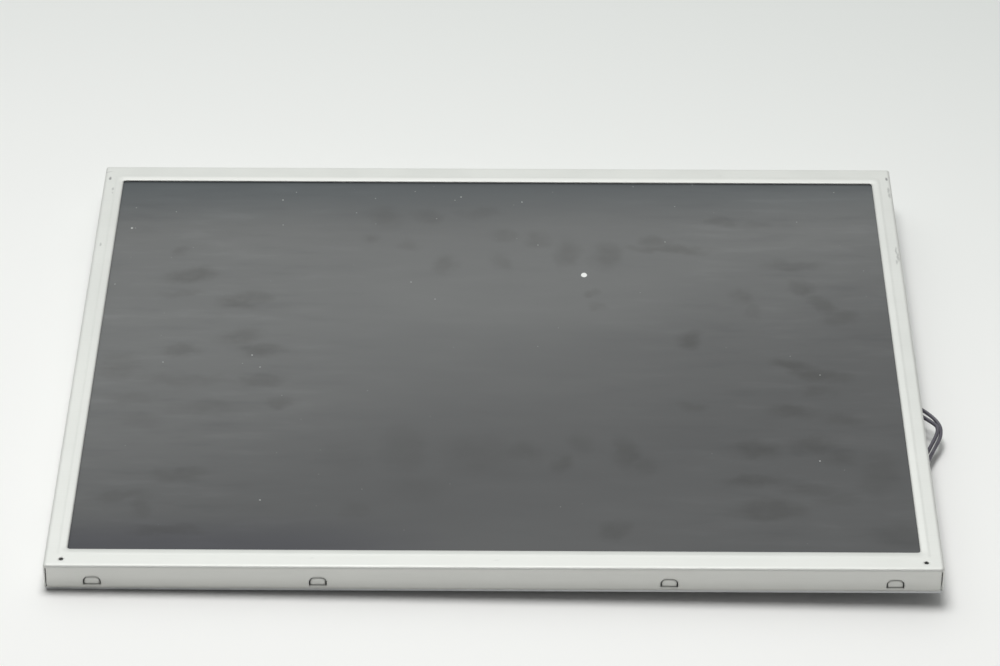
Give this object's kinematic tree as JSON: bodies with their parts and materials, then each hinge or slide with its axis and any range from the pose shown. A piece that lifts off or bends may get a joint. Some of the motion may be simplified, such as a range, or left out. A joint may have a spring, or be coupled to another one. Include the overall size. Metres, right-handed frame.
{
  "type": "lcd screen panel",
  "caption": "Flat liquid crystal screen module lying face up, with a pressed steel bezel, a rear driver board under a shield, and lamp leads that end in a plug.",
  "frame": {"origin": "middle of the module's outline, at the rear face of the board shield that it lies on", "axes": "+X across the screen to the side the lamp leads leave, +Y to the edge the driver films bend round, +Z out of the screen face"},
  "size_m": [0.3686, 0.2964, 0.017],
  "materials": {
    "bezel_steel": "satin",
    "chassis_steel": "satin",
    "shield_steel": "satin",
    "screw_steel": "satin",
    "screen_face": "matt",
    "cell_glass": "clear",
    "guide_plastic": "matt",
    "sheet_film": "matt",
    "clear_acrylic": "clear",
    "lamp_reflector": "bright",
    "lamp_glass": "coated white",
    "holder_rubber": "matt",
    "foam": "matt",
    "drive_film": "semi gloss",
    "chip_black": "matt",
    "board_green": "semi gloss",
    "socket_plastic": "matt",
    "lead_cover": "satin",
    "plug_nylon": "semi gloss"
  },
  "bodies": {
    "root": {"front_bezel": "bezel_steel", "bezel_gasket": "foam", "front_polarizer": "screen_face", "color_filter_glass": "cell_glass", "array_glass": "cell_glass", "rear_polarizer": "sheet_film", "panel_guide": "guide_plastic", "upper_diffuser": "sheet_film", "prism_sheet": "sheet_film", "lower_diffuser": "sheet_film", "light_guide_plate": "clear_acrylic", "reflector_sheet": "sheet_film", "near_lamp_reflector": "lamp_reflector", "far_lamp_reflector": "lamp_reflector", "near_lamp_upper": "lamp_glass", "near_lamp_lower": "lamp_glass", "far_lamp_upper": "lamp_glass", "far_lamp_lower": "lamp_glass", "near_lamp_holder_left": "holder_rubber", "near_lamp_holder_right": "holder_rubber", "far_lamp_holder_left": "holder_rubber", "far_lamp_holder_right": "holder_rubber", "lamp_links": "screw_steel", "rear_chassis": "chassis_steel", "source_driver_films": "drive_film", "source_driver_chips": "chip_black", "gate_driver_chips": "chip_black", "driver_board": "board_green", "timing_chip": "chip_black", "board_components": "chip_black", "signal_connector": "socket_plastic", "board_insulator": "sheet_film", "board_shield": "shield_steel", "shield_screws": "screw_steel", "side_mount_nuts": "screw_steel", "lead_grommet": "holder_rubber", "lamp_lead_outer_held": "lead_cover", "lamp_lead_inner_held": "lead_cover", "lamp_lead_outer": "lead_cover", "lamp_lead_inner": "lead_cover", "lamp_plug": "plug_nylon"}
  },
  "joints": []
}
